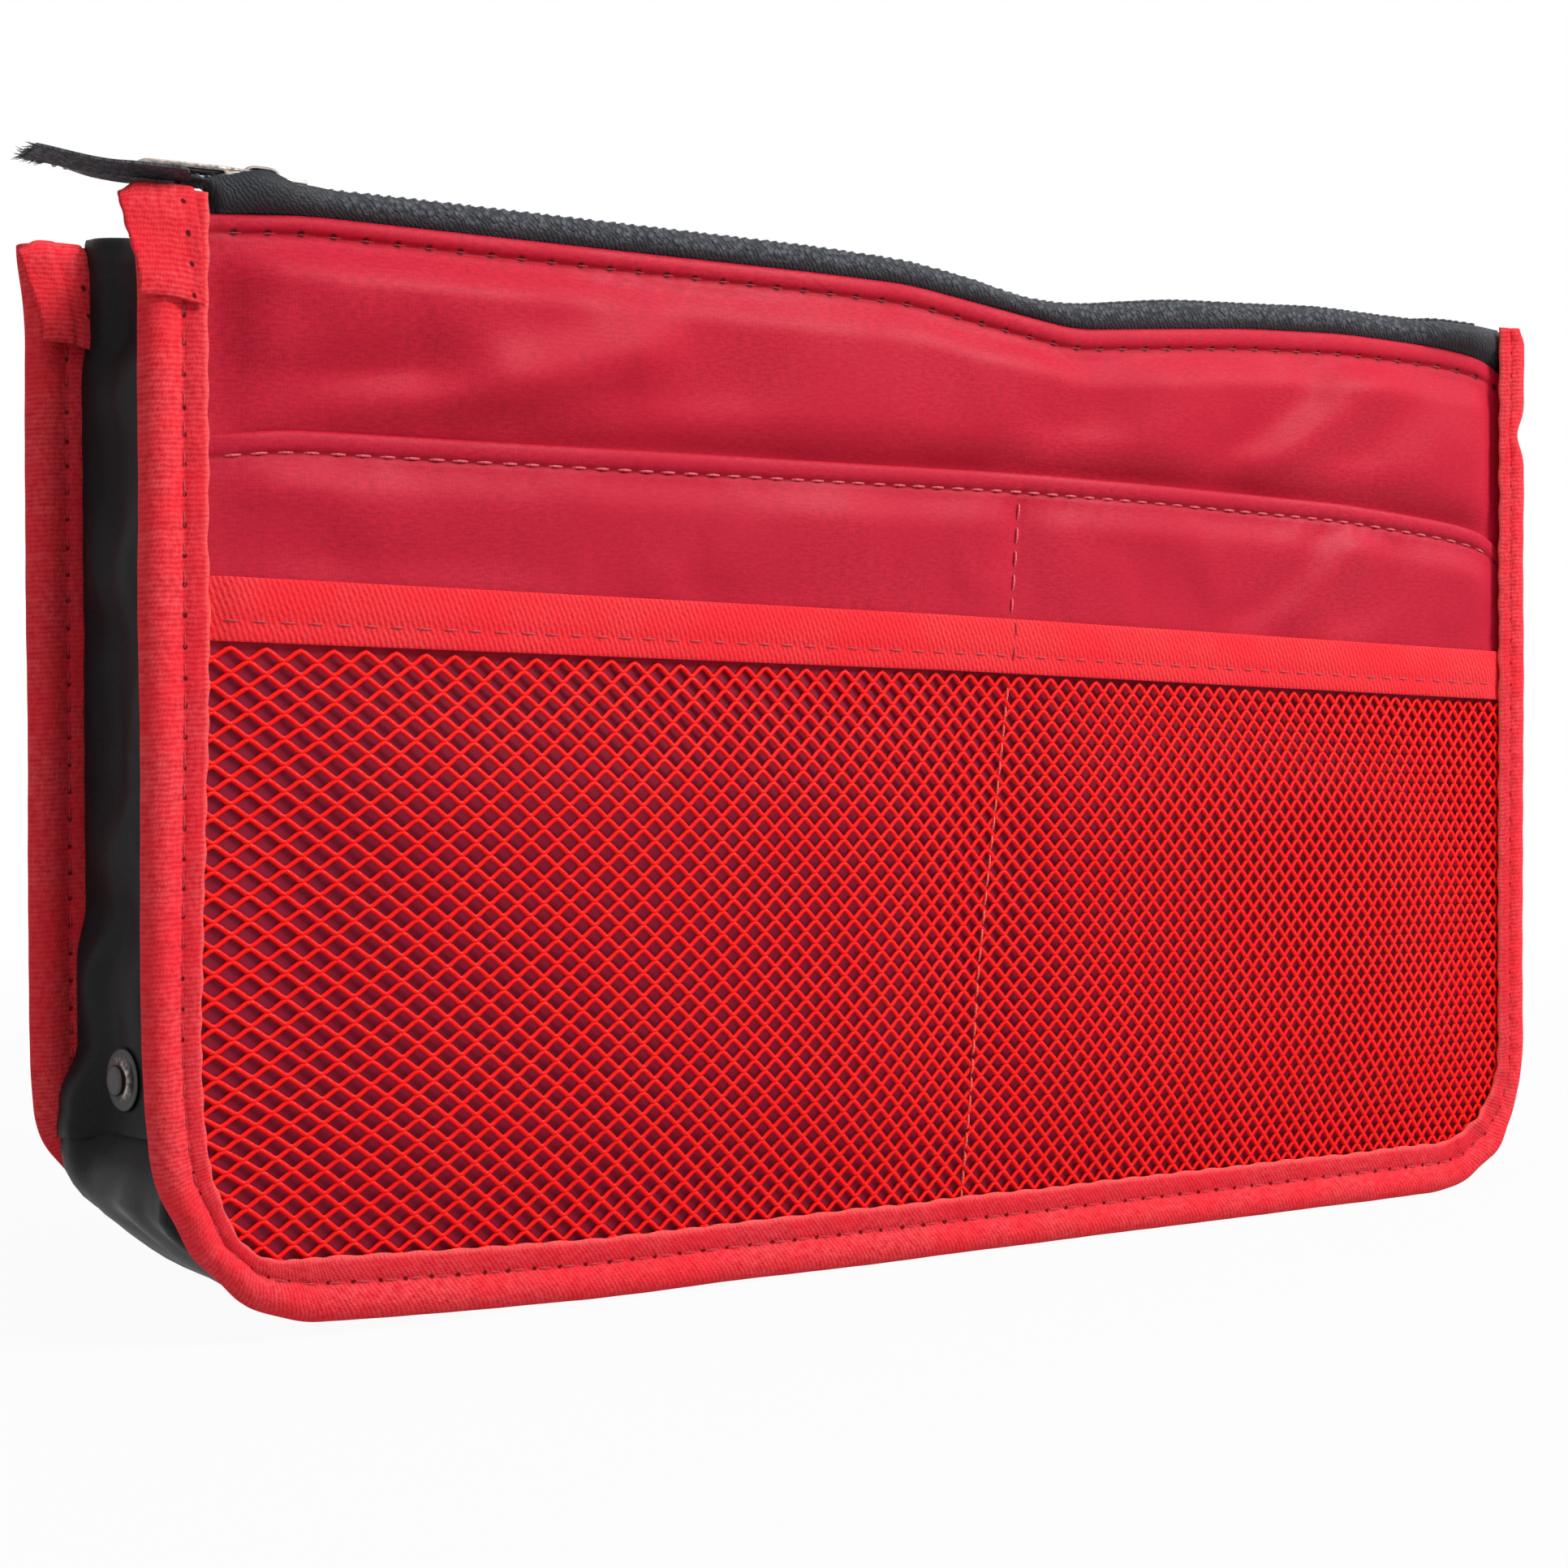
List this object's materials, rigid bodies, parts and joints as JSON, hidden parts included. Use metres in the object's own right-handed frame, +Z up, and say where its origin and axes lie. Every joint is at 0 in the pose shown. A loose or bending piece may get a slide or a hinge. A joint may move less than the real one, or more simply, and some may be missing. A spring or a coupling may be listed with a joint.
{
  "type": "organizer bag",
  "caption": "Freestanding fabric organizer bag: bound walls with a zipped pocket, mesh and slip pockets, open top, and side gussets that fold flat and close with press studs.",
  "frame": {"origin": "middle of the flat underside of the gusset base, midway between the two walls", "axes": "+X along the bag's width towards the closed end of the zip, +Y from the front wall to the rear wall, +Z up"},
  "size_m": [0.3174, 0.0669, 0.1834],
  "materials": {
    "twill_red": "matt cotton twill tape",
    "grosgrain_red": "ribbed grosgrain tape",
    "net_red": "knitted diamond net",
    "satin_red": "smooth nylon with a soft sheen",
    "nylon_black": "plain woven nylon",
    "zip_tape_black": "woven zip tape",
    "zip_coil_black": "moulded nylon coil",
    "snap_gunmetal": "dark plated metal",
    "slider_metal": "worn plated metal"
  },
  "bodies": {
    "front_wall": {"front_binding": "twill_red", "front_mesh_tape": "grosgrain_red", "front_mesh_net": "net_red", "front_slip_pocket": "satin_red", "front_panel": "satin_red", "front_lining": "nylon_black", "front_inner_pocket": "nylon_black", "zip_tape_front": "zip_tape_black", "zip_tape_rear": "zip_tape_black", "zip_teeth_front": "zip_coil_black", "zip_teeth_rear": "zip_coil_black", "zip_end_stop": "zip_coil_black", "gusset_base": "nylon_black"},
    "left_front_half": {"left_gusset_front": "nylon_black", "left_snap_socket": "snap_gunmetal", "left_snap_socket_cap": "snap_gunmetal"},
    "left_rear_half": {"left_gusset_rear": "nylon_black", "left_snap_stud": "snap_gunmetal", "left_snap_stud_cap": "snap_gunmetal"},
    "right_front_half": {"right_gusset_front": "nylon_black", "right_snap_socket": "snap_gunmetal", "right_snap_socket_cap": "snap_gunmetal"},
    "right_rear_half": {"right_gusset_rear": "nylon_black", "right_snap_stud": "snap_gunmetal", "right_snap_stud_cap": "snap_gunmetal"},
    "rear_wall": {"rear_binding": "twill_red", "rear_slip_pocket": "satin_red", "rear_panel": "satin_red", "rear_lining": "nylon_black", "rear_inner_pocket": "nylon_black"},
    "zip_slider": {"zip_slider": "slider_metal"},
    "zip_pull": {"zip_pull": "snap_gunmetal"}
  },
  "joints": [
    {"name": "gusset_fold", "type": "hinge", "parent": "front_wall", "child": "left_front_half", "pos_m": [-0.141, -0.02575, 0], "axis": [0, 0, -1], "range_deg": [0, 64.8], "deforming": ["gusset_base"]},
    {"name": "left_crease", "type": "hinge", "parent": "left_front_half", "child": "left_rear_half", "pos_m": [-0.13784, 0, 0], "axis": [0, 0, -1], "range_deg": [-129.7, 0]},
    {"name": "left_rear_seam", "type": "hinge", "parent": "left_rear_half", "child": "rear_wall", "pos_m": [-0.141, 0.02575, 0], "axis": [0, 0, -1], "range_deg": [0, 64.9]},
    {"name": "right_front_seam", "type": "hinge", "parent": "front_wall", "child": "right_front_half", "pos_m": [0.141, -0.02575, 0], "axis": [0, 0, -1], "range_deg": [-64.9, 0]},
    {"name": "right_crease", "type": "hinge", "parent": "right_front_half", "child": "right_rear_half", "pos_m": [0.13784, 0, 0], "axis": [0, 0, -1], "range_deg": [0, 129.7]},
    {"name": "zip_run", "type": "slide", "parent": "front_wall", "child": "zip_slider", "axis": [1, 0, 0], "range_m": [0, 0.258], "deforming": ["zip_teeth_front", "zip_teeth_rear"]},
    {"name": "pull_swing", "type": "hinge", "parent": "zip_slider", "child": "zip_pull", "pos_m": [-0.1292, -0.02605, 0.18205], "axis": [0, 1, 0], "range_deg": [0, 175]}
  ],
  "couplings": [
    {"joint": "left_crease", "follows": "gusset_fold", "ratio": -2},
    {"joint": "left_rear_seam", "follows": "gusset_fold", "ratio": 1},
    {"joint": "right_front_seam", "follows": "gusset_fold", "ratio": -1},
    {"joint": "right_crease", "follows": "gusset_fold", "ratio": 2}
  ]
}
